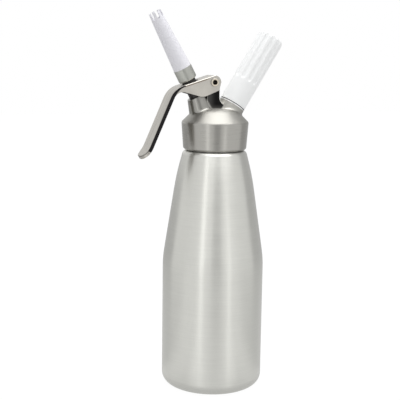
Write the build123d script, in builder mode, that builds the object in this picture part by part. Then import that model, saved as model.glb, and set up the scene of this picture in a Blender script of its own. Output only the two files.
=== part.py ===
from build123d import *

import os
from math import atan2, cos, degrees, pi, radians, sin, sqrt, tan

os.makedirs("parts", exist_ok=True)

# Millimetres. The origin is the centre of the bottle's base, +Z runs up the bottle,
# +X points to the charger holder's side and -X to the nozzle's and the lever's side.

# Fits
fixed_fit = 0.02  # radial play of a piece seated in another piece of the same body
running_fit = 0.05  # radial play of a shaft or a thread that turns or slides
moving_gap = 0.3  # gap between faces that pass each other

# Bottle
bottle_diameter = 97.0
bottle_wall = 1.5
base_thickness = 3.4
base_edge_radius = 10.5
base_recess_radius = 34.0
base_recess_depth = 1.0
straight_height = 124.6
lower_cone_height = 80.1
upper_cone_height = 24.0
lower_cone_angle = 8.7
lower_blend_radius = 110.0
upper_blend_reach = 13.3  # length that the blend takes from each of the two cones
shoulder_radius = 4.9
ledge_width = 3.9
ledge_flat = 0.2  # part of the ledge that stays flat beside the shoulder
neck_radius = 26.0
neck_wall = 3.4
neck_height = 19.5
rim_radius = 0.8

# Head
gasket_thickness = 3.0
cap_gap = 0.6
cap_wall = 4.0
cap_height = 26.0
cap_flare = 1.8
cap_chamfer = 1.6
cap_edge_radius = 3.0
head_cone_angle = 45.0
plateau_radius = 19.5
plateau_edge_radius = 14.0
meet_height = 15.3  # where the nozzle's and the charger's axes cross the bottle's axis, above the ledge

# Valve, with stations measured along the nozzle's axis from where the axes cross
stem_tilt = 28.5
valve_boss_play = 0.8  # between the boss and a cheek of the lever
valve_boss_top = 40.5
valve_boss_draft = 9.5
valve_boss_lean = 9.8  # by which the boss stands steeper than the nozzle's axis
boss_root_radius = 3.0
stem_radius = 4.0
stem_bore_radius = 2.5
seat_station = 12.0
seat_pocket_radius = 7.4
valve_disc_radius = 6.6
valve_disc_thickness = 2.5
valve_seal_thickness = 1.8
guide_length = 4.5
port_radius = 1.2
o_ring_section = 2.0
spring_seat_thickness = 2.5
spring_chamber_radius = 7.0
spring_wire_radius = 0.6
spring_coil_radius = 5.55
spring_turns = 6
adapter_entry = 1.6
adapter_radius = 6.5
lug_half_width = 3.5
lug_thickness = 3.0
stem_socket_length = 9.5
nozzle_thread_radius = 5.5
nozzle_thread_length = 9.3

# Nozzle
nozzle_lever_gap = 1.25
ferrule_radius = 8.75
ferrule_length = 12.0
ferrule_chamfer = 0.5
ferrule_chamfer_length = 1.0
ferrule_wall = 1.45
tip_spigot_length = 3.9
tip_length = 57.0
tip_base_radius = 8.55
tip_end_radius = 5.9
tip_wall = 1.3
tip_foot_thickness = 2.6
tip_notch_count = 7
tip_notch_width = 2.8
tip_notch_depth = 6.5
tip_notch_turn = 11.0
nozzle_seal_thickness = 1.6
nozzle_throat_radius = 3.5

# Lever, drawn about its pivot with u along its top plate towards the tail and v square to the plate
pivot_x = -5.0
pivot_height = 48.6  # above the crossing of the axes
plate_slope = 17.5
plate_height = 6.2
plate_length = 39.2
sheet_thickness = 1.2
lever_width = 21.4
lever_edge_radius = 0.9
bend_radius = 20.0
grip_tilt = 23.5
grip_length = 47.8
flange_depth = 3.6
lip_radius = 21.0
lip_turn = 35.0
lip_corner_radius = 9.0
tail_radius = 6.5
tail_turn = 17.0
tail_corner_u = 2.2
tail_corner_depth = 14.6
tail_corner_radius = 1.6
belly_u = -14.5
belly_depth = 16.1
belly_radius = 12.0
belly_rise = 32.0
arch_radius = 9.0
lever_swing = 12.0
lever_contact_gap = 0.15
slot_play = 0.4
web_play = 1.1  # between the web and a cheek of the lever
web_front_reach = 9.0
web_back_reach = 6.5
web_back_drop = 2.5  # from the pivot down to where the web's back runs straight
web_foot_radius = 7.0
web_edge_radius = 1.5
pin_radius = 3.0
pin_bore_radius = 2.2
pin_head_radius = 3.9
pin_head_thickness = 0.9
pin_edge_radius = 0.4
pin_tail = 0.5
clip_thickness = 0.8

# Charger side, with stations measured along the charger's axis from where the axes cross
charger_tilt = 31.6
holder_radius = 12.75
charger_boss_top = 33.2
holder_gap = 0.3
spigot_radius = 11.0
spigot_length = 12.0
piercer_station = 29.0
piercer_radius = 5.3
piercer_length = 6.5
needle_radius = 1.0
needle_bore_radius = 0.4
needle_reach = 2.6
charger_seal_thickness = 2.5
charger_length = 65.0
charger_radius = 9.0
charger_neck_radius = 4.25
charger_neck_length = 8.0
charger_neck_edge_radius = 0.5
charger_neck_blend = 2.0
charger_shoulder_length = 9.0
charger_shoulder_blend = 4.0
charger_end_radius = 6.0
charger_wall = 1.6
holder_length = 74.0
holder_end_radius = 3.5
holder_plain_length = 22.5
flute_count = 12
flute_turn = 20.0
flute_radius = 3.6
flute_depth = 1.1
gas_drill_radius = 1.25
check_pocket_radius = 4.5
check_pocket_depth = 5.0
retainer_thickness = 2.0
retainer_bore_radius = 1.6
check_disc_radius = 3.4
check_disc_thickness = 1.2
check_stem_radius = 1.0
check_stem_length = 1.2

# Levels along the bottle's axis
bottle_radius = bottle_diameter / 2
upper_bend_z = straight_height + lower_cone_height
ledge_z = upper_bend_z + upper_cone_height
rim_z = ledge_z + neck_height
ceiling_z = rim_z + gasket_thickness
cap_bottom_z = ledge_z + cap_gap
cap_top_z = cap_bottom_z + cap_height
meet_z = ledge_z + meet_height

# Radii of the neck's fit
neck_bore_radius = neck_radius + running_fit
neck_mouth_radius = neck_radius - neck_wall
cap_bottom_radius = neck_bore_radius + cap_wall
cap_top_radius = cap_bottom_radius + cap_flare
plateau_z = cap_top_z + (cap_top_radius - plateau_radius) * tan(radians(head_cone_angle))

# Axes and planes
meet = Vector(0, 0, meet_z)
stem_across = Vector(cos(radians(stem_tilt)), 0, sin(radians(stem_tilt)))
stem_along = Vector(-sin(radians(stem_tilt)), 0, cos(radians(stem_tilt)))
charger_across = Vector(cos(radians(charger_tilt)), 0, -sin(radians(charger_tilt)))
charger_along = Vector(sin(radians(charger_tilt)), 0, cos(radians(charger_tilt)))
stem_plane = Plane(meet, x_dir=stem_across, z_dir=stem_along)
stem_section = Plane(meet, x_dir=stem_across, z_dir=(0, -1, 0))
stem_axis = Axis(meet, stem_along)
boss_tilt = stem_tilt - valve_boss_lean
boss_across = Vector(cos(radians(boss_tilt)), 0, sin(radians(boss_tilt)))
boss_along = Vector(-sin(radians(boss_tilt)), 0, cos(radians(boss_tilt)))
boss_peak = meet + stem_along * valve_boss_top
boss_section = Plane(boss_peak, x_dir=boss_across, z_dir=(0, -1, 0))
boss_axis = Axis(boss_peak, boss_along)
charger_plane = Plane(meet, x_dir=charger_across, z_dir=charger_along)
charger_section = Plane(meet, x_dir=charger_across, z_dir=(0, -1, 0))
charger_axis = Axis(meet, charger_along)
pivot_z = meet_z + pivot_height
plate_across = Vector(cos(radians(plate_slope)), 0, sin(radians(plate_slope)))
lever_plane = Plane((pivot_x, 0, pivot_z), x_dir=plate_across, z_dir=(0, -1, 0))

# The pivot seen from the nozzle's axis: p to its right, q along it
pivot_p = pivot_x * stem_across.X + pivot_height * stem_across.Z
pivot_q = pivot_x * stem_along.X + pivot_height * stem_along.Z
plate_lean = stem_tilt - plate_slope


def plate_station(p, height, swing=0.0):
    """Station on the nozzle's axis of the plate's line at a height over the pivot, p from the axis."""
    lean = radians(plate_lean - swing)
    return pivot_q + height / cos(lean) + (pivot_p - p) * tan(lean)


def plate_place(p, height, swing=0.0):
    """Place along the lever's plate of the point that is p from the nozzle's axis."""
    lean = radians(plate_lean - swing)
    return (p - pivot_p - height * sin(lean)) / cos(lean)


def inset(before, corner, after, distance):
    """Corner of the line that runs a distance inside an outline that turns to the left."""
    run_in = (Vector(*corner) - Vector(*before)).normalized()
    run_out = (Vector(*after) - Vector(*corner)).normalized()
    normal_in = Vector(-run_in.Y, run_in.X)
    normal_out = Vector(-run_out.Y, run_out.X)
    moved = Vector(*corner) + (normal_in + normal_out) * (distance / (1 + normal_in.dot(normal_out)))
    return moved.X, moved.Y


# Bottle: one spun shell, its outside drawn from the base up to the rim
base_corner = (bottle_radius, 0)
lower_bend = (bottle_radius, straight_height)
upper_bend = (bottle_radius - lower_cone_height * tan(radians(lower_cone_angle)), upper_bend_z)
ledge_corner = (neck_radius + ledge_width, ledge_z)
neck_root = (neck_radius, ledge_z)
upper_cone_lean = atan2(upper_bend[0] - ledge_corner[0], upper_cone_height)
upper_turn = upper_cone_lean - radians(lower_cone_angle)
upper_blend_radius = upper_blend_reach / tan(abs(upper_turn) / 2)
ledge_room = (ledge_width - ledge_flat) / tan((pi / 2 - upper_cone_lean) / 2)
ledge_round = min(shoulder_radius, ledge_room)
inner_lower_bend = inset(base_corner, lower_bend, upper_bend, bottle_wall)
inner_upper_bend = inset(lower_bend, upper_bend, ledge_corner, bottle_wall)
inner_ledge_corner = inset(upper_bend, ledge_corner, neck_root, bottle_wall)

with BuildPart() as bottle:
    with BuildSketch(Plane.XZ):
        with BuildLine():
            FilletPolyline(
                (0, 0),
                base_corner,
                lower_bend,
                upper_bend,
                ledge_corner,
                neck_root,
                (neck_radius, rim_z),
                (0, rim_z),
                radius=[
                    0,
                    base_edge_radius,
                    lower_blend_radius,
                    upper_blend_radius,
                    ledge_round,
                    0,
                    rim_radius,
                    0,
                ],
                close=True,
            )
        make_face()
    revolve(axis=Axis.Z)
    with BuildSketch(Plane.XZ):
        with BuildLine():
            FilletPolyline(
                (0, base_thickness),
                (bottle_radius - bottle_wall, base_thickness),
                inner_lower_bend,
                inner_upper_bend,
                inner_ledge_corner,
                (neck_mouth_radius, inner_ledge_corner[1]),
                (neck_mouth_radius, rim_z),
                (0, rim_z),
                radius=[
                    0,
                    base_edge_radius - bottle_wall,
                    lower_blend_radius - bottle_wall,
                    upper_blend_radius - bottle_wall,
                    ledge_round - bottle_wall,
                    rim_radius,
                    0,
                    0,
                ],
                close=True,
            )
        make_face()
    revolve(axis=Axis.Z, mode=Mode.SUBTRACT)
    with BuildSketch(Plane.XY):
        Circle(base_recess_radius)
    extrude(amount=base_recess_depth, mode=Mode.SUBTRACT)
bottle.part.label = "bottle"
export_step(bottle.part, "parts/bottle.step")

# Gasket: a flat ring between the bottle's rim and the ceiling of the head
with BuildPart() as head_gasket:
    with BuildSketch(Plane.XY.offset(rim_z)):
        Circle(neck_bore_radius - moving_gap)
        Circle(neck_mouth_radius, mode=Mode.SUBTRACT)
    extrude(amount=gasket_thickness)
head_gasket.part.label = "head_gasket"
export_step(head_gasket.part, "parts/head_gasket.step")

# Stations up the valve's bore
guide_top = seat_station + guide_length
o_ring_top = guide_top + o_ring_section
spring_bottom = o_ring_top + spring_seat_thickness
adapter_bottom = valve_boss_top - adapter_entry
o_ring_outer_radius = stem_radius + o_ring_section

# Stations and radii of the charger's bore
spigot_top = charger_boss_top + spigot_length
seal_station = piercer_station + piercer_length
charger_station = seal_station + charger_seal_thickness
check_x = piercer_station * charger_along.X
drill_top_z = meet_z + piercer_station * charger_along.Z

# Widths between the lever's cheeks
half_width = lever_width / 2
inner_half_width = half_width - sheet_thickness
valve_boss_radius = inner_half_width - valve_boss_play
web_half_width = inner_half_width - web_play

# Web of the head: it stands up between the lever's cheeks and carries the pin. Its back runs down straight
# and then sweeps out to the charger's boss, level with the upper edge of that boss
web_top_radius = plate_height - sheet_thickness - moving_gap
web_back_x = pivot_x + web_back_reach
web_foot_x = web_back_x + web_foot_radius
web_foot_z = meet_z + charger_boss_top * charger_along.Z - holder_radius * charger_across.Z
with BuildPart() as web:
    with BuildSketch(Plane.XZ):
        with BuildLine():
            CenterArc((pivot_x, pivot_z), web_top_radius, 0, 180)
            Line((pivot_x - web_front_reach, cap_top_z), (web_back_x, cap_top_z))
            Line((web_back_x, cap_top_z), (web_back_x, pivot_z - web_back_drop))
        make_hull()
        with BuildLine():
            Line((web_back_x, cap_top_z), (web_back_x, web_foot_z))
            CenterArc((web_foot_x, web_foot_z), web_foot_radius, 180, 90)
            Line((web_foot_x, web_foot_z - web_foot_radius), (web_foot_x, cap_top_z))
            Line((web_foot_x, cap_top_z), (web_back_x, cap_top_z))
        make_face()
    extrude(amount=web_half_width, both=True)
    fillet(web.edges().group_by(Axis.Y)[0] + web.edges().group_by(Axis.Y)[-1], web_edge_radius)


def root_edges(edges, plane, top):
    """Edges in which a boss that stands on a plane meets the cap, without its seam and its top edge."""
    curved = [edge for edge in edges if edge.geom_type != GeomType.LINE]
    return [edge for edge in curved if plane.to_local_coords(edge.center()).Z < top - boss_root_radius]


# Cap: the spun body of the head, still solid
with BuildPart() as cap:
    with BuildSketch(Plane.XZ):
        with BuildLine():
            FilletPolyline(
                (0, cap_bottom_z),
                (cap_bottom_radius - cap_chamfer, cap_bottom_z),
                (cap_bottom_radius, cap_bottom_z + cap_chamfer),
                (cap_top_radius, cap_top_z),
                (plateau_radius, plateau_z),
                (0, plateau_z),
                radius=[0, 0, 0, cap_edge_radius, plateau_edge_radius, 0],
                close=True,
            )
        make_face()
    revolve(axis=Axis.Z)

# Valve boss: a cone that stands steeper than the nozzle's axis. It runs past its top, where it is cut square
# to that axis
boss_taper = tan(radians(valve_boss_draft))
boss_overrun = valve_boss_radius / 2
with BuildPart() as valve_boss:
    with BuildSketch(boss_section):
        with BuildLine():
            Polyline(
                (0, -valve_boss_top),
                (valve_boss_radius + valve_boss_top * boss_taper, -valve_boss_top),
                (valve_boss_radius - boss_overrun * boss_taper, boss_overrun),
                (0, boss_overrun),
                close=True,
            )
        make_face()
    revolve(axis=boss_axis)
    split(bisect_by=stem_plane.offset(valve_boss_top), keep=Keep.BOTTOM)

# Each boss is set on the cap by itself, with a fillet round its foot
with BuildPart() as valve_side:
    add(cap.part)
    add(valve_boss.part)
    fillet(root_edges(valve_side.edges(Select.NEW), stem_plane, valve_boss_top), boss_root_radius)
with BuildPart() as charger_side:
    add(cap.part)
    with BuildSketch(charger_plane):
        Circle(holder_radius)
    extrude(amount=charger_boss_top)
    fillet(root_edges(charger_side.edges(Select.NEW), charger_plane, charger_boss_top), boss_root_radius)

# Head: the cap with its two bosses and the web, bored for the valve and the charger
with BuildPart() as head:
    add(valve_side.part)
    add(charger_side.part)
    with BuildSketch(charger_plane.offset(charger_boss_top)):
        Circle(spigot_radius)
    extrude(amount=spigot_length)
    add(web.part)
    with BuildSketch(Plane.XY.offset(cap_bottom_z)):
        Circle(neck_bore_radius)
    extrude(amount=ceiling_z - cap_bottom_z, mode=Mode.SUBTRACT)
    with BuildSketch(stem_plane):
        Circle(seat_pocket_radius)
    extrude(amount=seat_station, mode=Mode.SUBTRACT)
    with BuildSketch(stem_plane):
        Circle(stem_radius + running_fit)
    extrude(amount=valve_boss_top, mode=Mode.SUBTRACT)
    with BuildSketch(stem_plane.offset(guide_top)):
        Circle(o_ring_outer_radius)
    extrude(amount=valve_boss_top - guide_top, mode=Mode.SUBTRACT)
    with BuildSketch(stem_plane.offset(o_ring_top)):
        Circle(spring_chamber_radius)
    extrude(amount=valve_boss_top - o_ring_top, mode=Mode.SUBTRACT)
    with BuildSketch(charger_plane.offset(piercer_station)):
        Circle(piercer_radius)
    extrude(amount=spigot_top - piercer_station, mode=Mode.SUBTRACT)
    with BuildSketch(Plane.XY.offset(ceiling_z)):
        with Locations((check_x, 0)):
            Circle(gas_drill_radius)
    extrude(amount=drill_top_z - ceiling_z, mode=Mode.SUBTRACT)
    with BuildSketch(Plane.XY.offset(ceiling_z)):
        with Locations((check_x, 0)):
            Circle(check_pocket_radius)
    extrude(amount=check_pocket_depth, mode=Mode.SUBTRACT)
    with BuildSketch(Plane.XZ):
        with Locations((pivot_x, pivot_z)):
            Circle(pin_radius + fixed_fit)
    extrude(amount=lever_width, both=True, mode=Mode.SUBTRACT)
head.part.label = "head"
export_step(head.part, "parts/head.step")

# Lever: a channel of sheet. Its outer face runs from the tail along the plate, round the bend and down the
# grip, which flares a little at the end. The flange goes round the end
bend_turn = 90 - grip_tilt - plate_slope
grip_heading = radians(180 + bend_turn)
grip_run = Vector(cos(grip_heading), sin(grip_heading))
grip_out = Vector(sin(grip_heading), -cos(grip_heading))
bend_start_u = bend_radius * tan(radians(bend_turn / 2)) - plate_length
bend_center = Vector(bend_start_u, plate_height - bend_radius)
grip_start = bend_center + grip_out * bend_radius
grip_end = grip_start + grip_run * grip_length
lip_center = grip_end + grip_out * lip_radius
lip_start_angle = 270 + bend_turn
lip_end_angle = lip_start_angle - lip_turn
lip_middle = radians(lip_start_angle - lip_turn / 2)
lip_down = Vector(cos(radians(lip_end_angle)), sin(radians(lip_end_angle)))
lip_end = lip_center + lip_down * lip_radius
tail_u = sqrt(tail_radius**2 - plate_height**2)
tail_foot = (tail_radius * cos(radians(tail_turn)), -tail_radius * sin(radians(tail_turn)))
tail_corner = (tail_corner_u, plate_height - tail_corner_depth)
belly = Vector(belly_u, plate_height - belly_depth)
flange_start = grip_start - grip_out * flange_depth
flange_end = grip_end - grip_out * flange_depth
rise_run = Vector(-cos(radians(belly_rise)), sin(radians(belly_rise)))
rise_length = (flange_start - belly).cross(grip_run).Z / rise_run.cross(grip_run).Z
arch = belly + rise_run * rise_length

# The channel is cut under the sheet and stops short of the lever's end by one sheet
channel_v = plate_height - sheet_thickness
channel_far = plate_length
channel_turn = lip_turn - degrees(sheet_thickness / lip_radius)
channel_end_angle = lip_start_angle - channel_turn
channel_down = Vector(cos(radians(channel_end_angle)), sin(radians(channel_end_angle)))
channel_grip_start = grip_start - grip_out * sheet_thickness
channel_grip_end = grip_end - grip_out * sheet_thickness
channel_lip_end = lip_center + channel_down * (lip_radius + sheet_thickness)
channel_mouth = lip_center + channel_down * (lip_radius + 2 * flange_depth)

# The slot leaves play round the adapter's neck at both ends of the lever's swing. Its cut starts one sheet
# under the plate and ends one sheet over it
slot_heights = (plate_height - sheet_thickness, plate_height)
slot_left = min(plate_place(-adapter_radius, h, s) for h in slot_heights for s in (0, lever_swing))
slot_right = max(plate_place(adapter_radius, h, s) for h in slot_heights for s in (0, lever_swing))
slot_half_width = adapter_radius + slot_play
slot_middle = (slot_left + slot_right) / 2
slot_separation = slot_right - slot_left - 2 * adapter_radius
slot_origin = lever_plane.from_local_coords((slot_middle, plate_height - 2 * sheet_thickness))

with BuildPart() as channel:
    with BuildSketch(lever_plane):
        with BuildLine():
            Line((channel_far, channel_v), (bend_start_u, channel_v))
            CenterArc(bend_center, bend_radius - sheet_thickness, 90, bend_turn)
            Line(channel_grip_start, channel_grip_end)
            CenterArc(lip_center, lip_radius + sheet_thickness, lip_start_angle, -channel_turn)
            Polyline(channel_lip_end, channel_mouth, (channel_far, -plate_length), (channel_far, channel_v))
        make_face()
    extrude(amount=inner_half_width, both=True)
    channel_end = lever_plane.from_local_coords((channel_lip_end + channel_mouth) * 0.5)
    fillet(
        channel.faces().sort_by_distance(channel_end)[0].edges().filter_by(Axis.Y, reverse=True),
        lip_corner_radius - sheet_thickness,
    )

with BuildPart() as lever:
    with BuildSketch(lever_plane) as lever_side:
        with BuildLine():
            Line((tail_u, plate_height), (bend_start_u, plate_height))
            CenterArc(bend_center, bend_radius, 90, bend_turn)
            Line(grip_start, grip_end)
            CenterArc(lip_center, lip_radius, lip_start_angle, -lip_turn)
            Line(lip_end, lip_end + lip_down * flange_depth)
            CenterArc(lip_center, lip_radius + flange_depth, lip_end_angle, lip_turn)
            Polyline(flange_end, arch, belly, tail_corner, tail_foot)
            CenterArc((0, 0), tail_radius, -tail_turn, tail_turn + degrees(atan2(plate_height, tail_u)))
        make_face()
        fillet(lever_side.vertices().sort_by_distance(arch)[0], arch_radius)
        fillet(lever_side.vertices().sort_by_distance(belly)[0], belly_radius)
        fillet(lever_side.vertices().sort_by_distance(tail_corner)[0], tail_corner_radius)
    extrude(amount=half_width, both=True)
    lever_end = lever_plane.from_local_coords(lip_end + lip_down * (flange_depth / 2))
    fillet(
        lever.faces().sort_by_distance(lever_end)[0].edges().filter_by(Axis.Y, reverse=True),
        lip_corner_radius,
    )
    skin_points = (
        Vector(bend_start_u / 2, plate_height),
        bend_center + Vector(-sin(radians(bend_turn / 2)), cos(radians(bend_turn / 2))) * bend_radius,
        (grip_start + grip_end) * 0.5,
        lip_center + Vector(cos(lip_middle), sin(lip_middle)) * lip_radius,
    )
    skin = [lever.faces().sort_by_distance(lever_plane.from_local_coords(point))[0] for point in skin_points]
    rims = [edge for face in skin for edge in face.edges().filter_by(Axis.Y, reverse=True)]
    fillet(rims, lever_edge_radius)
    add(channel.part, mode=Mode.SUBTRACT)
    with BuildSketch(Plane.XZ):
        with Locations((pivot_x, pivot_z)):
            Circle(pin_radius + running_fit)
    extrude(amount=lever_width, both=True, mode=Mode.SUBTRACT)
    with BuildSketch(Plane(slot_origin, x_dir=plate_across, z_dir=lever_plane.y_dir)):
        SlotCenterToCenter(slot_separation, 2 * slot_half_width)
    extrude(amount=3 * sheet_thickness, mode=Mode.SUBTRACT)
lever.part.label = "lever"
export_step(lever.part, "parts/lever.step")

# Lever pin: a tubular rivet with a flange on the near side and a push-on clip on the far side
pin_head_y = -half_width - moving_gap
clip_y = half_width + moving_gap
with BuildPart() as lever_pin:
    with BuildSketch(Plane((pivot_x, pin_head_y - pin_head_thickness, pivot_z), z_dir=(0, 1, 0))):
        Circle(pin_head_radius)
    extrude(amount=pin_head_thickness)
    with BuildSketch(Plane((pivot_x, pin_head_y, pivot_z), z_dir=(0, 1, 0))):
        Circle(pin_radius)
    extrude(amount=clip_y + clip_thickness + pin_tail - pin_head_y)
    with BuildSketch(Plane((pivot_x, pin_head_y - pin_head_thickness, pivot_z), z_dir=(0, 1, 0))):
        Circle(pin_bore_radius)
    extrude(amount=2 * lever_width, mode=Mode.SUBTRACT)
    fillet(lever_pin.faces().sort_by(Axis.Y)[0].edges(), pin_edge_radius)
lever_pin.part.label = "lever_pin"
export_step(lever_pin.part, "parts/lever_pin.step")

with BuildPart() as lever_pin_clip:
    with BuildSketch(Plane((pivot_x, clip_y, pivot_z), z_dir=(0, 1, 0))):
        Circle(pin_head_radius)
        Circle(pin_radius + fixed_fit, mode=Mode.SUBTRACT)
    extrude(amount=clip_thickness)
lever_pin_clip.part.label = "lever_pin_clip"
export_step(lever_pin_clip.part, "parts/lever_pin_clip.step")

# Valve stem: a tube that is closed by its valve disc, with side ports that the seat covers when it is shut
stem_socket_top = adapter_bottom + stem_socket_length
disc_top = seat_station - valve_seal_thickness
disc_bottom = disc_top - valve_disc_thickness
port_station = seat_station + port_radius + fixed_fit
with BuildPart() as valve_stem:
    with BuildSketch(stem_plane.offset(disc_bottom)):
        Circle(valve_disc_radius)
    extrude(amount=valve_disc_thickness)
    with BuildSketch(stem_plane.offset(disc_top)):
        Circle(stem_radius)
    extrude(amount=stem_socket_top - disc_top)
    with BuildSketch(stem_plane.offset(disc_top)):
        Circle(stem_bore_radius)
    extrude(amount=stem_socket_top - disc_top, mode=Mode.SUBTRACT)
    with BuildSketch(stem_section):
        with Locations((0, port_station)):
            Circle(port_radius)
    extrude(amount=2 * stem_radius, both=True, mode=Mode.SUBTRACT)
    with BuildSketch(Plane(meet, x_dir=(0, 1, 0), z_dir=stem_across)):
        with Locations((0, port_station)):
            Circle(port_radius)
    extrude(amount=2 * stem_radius, both=True, mode=Mode.SUBTRACT)
valve_stem.part.label = "valve_stem"
export_step(valve_stem.part, "parts/valve_stem.step")

with BuildPart() as valve_seal:
    with BuildSketch(stem_plane.offset(disc_top)):
        Circle(valve_disc_radius)
        Circle(stem_radius + fixed_fit, mode=Mode.SUBTRACT)
    extrude(amount=valve_seal_thickness)
valve_seal.part.label = "valve_seal"
export_step(valve_seal.part, "parts/valve_seal.step")

with BuildPart() as stem_o_ring:
    with BuildSketch(stem_section):
        with Locations((stem_radius + running_fit + o_ring_section / 2, guide_top + o_ring_section / 2)):
            Circle(o_ring_section / 2 - running_fit)
    revolve(axis=stem_axis)
stem_o_ring.part.label = "stem_o_ring"
export_step(stem_o_ring.part, "parts/stem_o_ring.step")

with BuildPart() as spring_seat:
    with BuildSketch(stem_plane.offset(o_ring_top)):
        Circle(spring_chamber_radius - fixed_fit)
        Circle(stem_radius + running_fit, mode=Mode.SUBTRACT)
    extrude(amount=spring_seat_thickness)
spring_seat.part.label = "spring_seat"
export_step(spring_seat.part, "parts/spring_seat.step")

# Valve spring: a coil between the spring seat and the adapter, drawn as two tangent arcs for each half turn
coil_bottom = spring_bottom + spring_wire_radius + fixed_fit
coil_top = adapter_bottom - spring_wire_radius - fixed_fit
coil_pitch = (coil_top - coil_bottom) / spring_turns


def coil_point(turn):
    """Point of the coil's centre line after a number of turns."""
    angle = 2 * pi * turn
    across, aside = spring_coil_radius * cos(angle), spring_coil_radius * sin(angle)
    return stem_plane.from_local_coords(Vector(across, aside, coil_bottom + coil_pitch * turn))


def coil_heading(turn):
    """Direction of the coil's centre line after a number of turns."""
    angle = 2 * pi * turn
    run = Vector(-spring_coil_radius * sin(angle), spring_coil_radius * cos(angle), coil_pitch / (2 * pi))
    return (stem_plane.from_local_coords(run) - meet).normalized()


with BuildPart() as valve_spring:
    with BuildLine() as coil:
        for half_turn in range(2 * spring_turns):
            start, finish = coil_point(half_turn / 2), coil_point((half_turn + 1) / 2)
            heading, final_heading = coil_heading(half_turn / 2), coil_heading((half_turn + 1) / 2)
            chord = finish - start
            lean = chord.dot(heading + final_heading)
            spread = 1 - heading.dot(final_heading)
            reach = (sqrt(lean**2 + 2 * spread * chord.dot(chord)) - lean) / (2 * spread)
            before, after = start + heading * reach, finish - final_heading * reach
            joint = (before + after) * 0.5
            TangentArc(start, joint, tangent=heading)
            TangentArc(joint, finish, tangent=after - before)
    with BuildSketch(Plane(coil_point(0), z_dir=coil_heading(0))):
        Circle(spring_wire_radius)
    sweep()
valve_spring.part.label = "valve_spring"
export_step(valve_spring.part, "parts/valve_spring.step")
print("valve spring, gap between turns", round(coil_pitch - 2 * spring_wire_radius, 3))

# Nozzle adapter: screwed on the stem, with two lugs that the lever's rails press and the nozzle's thread
lug_reach = inner_half_width - moving_gap
lug_top = plate_station(lug_half_width, plate_height - sheet_thickness) - lever_contact_gap
ferrule_foot_radius = ferrule_radius - ferrule_chamfer
ferrule_bottom = plate_station(-ferrule_foot_radius, plate_height) + nozzle_lever_gap
adapter_shoulder = ferrule_bottom - fixed_fit
adapter_top = adapter_shoulder + nozzle_thread_length
with BuildPart() as nozzle_adapter:
    with BuildSketch(stem_plane.offset(adapter_bottom)):
        Circle(adapter_radius)
    extrude(amount=adapter_shoulder - adapter_bottom)
    with BuildSketch(stem_plane.offset(lug_top - lug_thickness)):
        Circle(lug_reach)
        Rectangle(2 * lug_half_width, 2 * lug_reach, mode=Mode.INTERSECT)
    extrude(amount=lug_thickness)
    with BuildSketch(stem_plane.offset(adapter_shoulder)):
        Circle(nozzle_thread_radius)
    extrude(amount=nozzle_thread_length)
    with BuildSketch(stem_plane.offset(adapter_bottom)):
        Circle(stem_radius + fixed_fit)
    extrude(amount=stem_socket_length, mode=Mode.SUBTRACT)
    with BuildSketch(stem_plane.offset(stem_socket_top)):
        Circle(stem_bore_radius)
    extrude(amount=adapter_top - stem_socket_top, mode=Mode.SUBTRACT)
nozzle_adapter.part.label = "nozzle_adapter"
export_step(nozzle_adapter.part, "parts/nozzle_adapter.step")

# Nozzle: a threaded ferrule on the foot of a plastic tip, with a flat seal over the adapter's end
ferrule_top = ferrule_bottom + ferrule_length
spigot_station = ferrule_top - tip_spigot_length
socket_radius = ferrule_radius - ferrule_wall
seal_top = adapter_top + nozzle_seal_thickness
tip_end = ferrule_top + tip_length
thread_bore_radius = nozzle_thread_radius + running_fit
with BuildPart() as nozzle_seal:
    with BuildSketch(stem_plane.offset(adapter_top)):
        Circle(nozzle_thread_radius - moving_gap)
        Circle(nozzle_throat_radius, mode=Mode.SUBTRACT)
    extrude(amount=nozzle_seal_thickness)
nozzle_seal.part.label = "nozzle_seal"
export_step(nozzle_seal.part, "parts/nozzle_seal.step")

with BuildPart() as nozzle_ferrule:
    with BuildSketch(stem_section):
        with BuildLine():
            Polyline(
                (thread_bore_radius, ferrule_bottom),
                (ferrule_foot_radius, ferrule_bottom),
                (ferrule_radius, ferrule_bottom + ferrule_chamfer_length),
                (ferrule_radius, ferrule_top),
                (socket_radius, ferrule_top),
                (socket_radius, spigot_station),
                (thread_bore_radius, spigot_station),
                close=True,
            )
        make_face()
    revolve(axis=stem_axis)
nozzle_ferrule.part.label = "nozzle_ferrule"
export_step(nozzle_ferrule.part, "parts/nozzle_ferrule.step")

with BuildPart() as decorator_tip:
    with BuildSketch(stem_section):
        with BuildLine():
            Polyline(
                (thread_bore_radius, spigot_station),
                (socket_radius - fixed_fit, spigot_station),
                (socket_radius - fixed_fit, ferrule_top),
                (tip_base_radius, ferrule_top),
                (tip_end_radius, tip_end),
                (tip_end_radius - tip_wall, tip_end),
                (nozzle_throat_radius, ferrule_top + tip_foot_thickness),
                (nozzle_throat_radius, seal_top),
                (thread_bore_radius, seal_top),
                close=True,
            )
        make_face()
    revolve(axis=stem_axis)
    for notch in range(tip_notch_count):
        notch_angle = radians(tip_notch_turn + 360 * notch / tip_notch_count)
        notch_out = stem_across * cos(notch_angle) + Vector(0, 1, 0) * sin(notch_angle)
        with BuildSketch(Plane(meet, x_dir=stem_along.cross(notch_out), z_dir=notch_out)):
            with Locations((0, tip_end)):
                Rectangle(tip_notch_width, 2 * tip_notch_depth - tip_notch_width)
            with Locations((0, tip_end - tip_notch_depth + tip_notch_width / 2)):
                Circle(tip_notch_width / 2)
        extrude(amount=2 * tip_end_radius, mode=Mode.SUBTRACT)
decorator_tip.part.label = "decorator_tip"
export_step(decorator_tip.part, "parts/decorator_tip.step")

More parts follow.
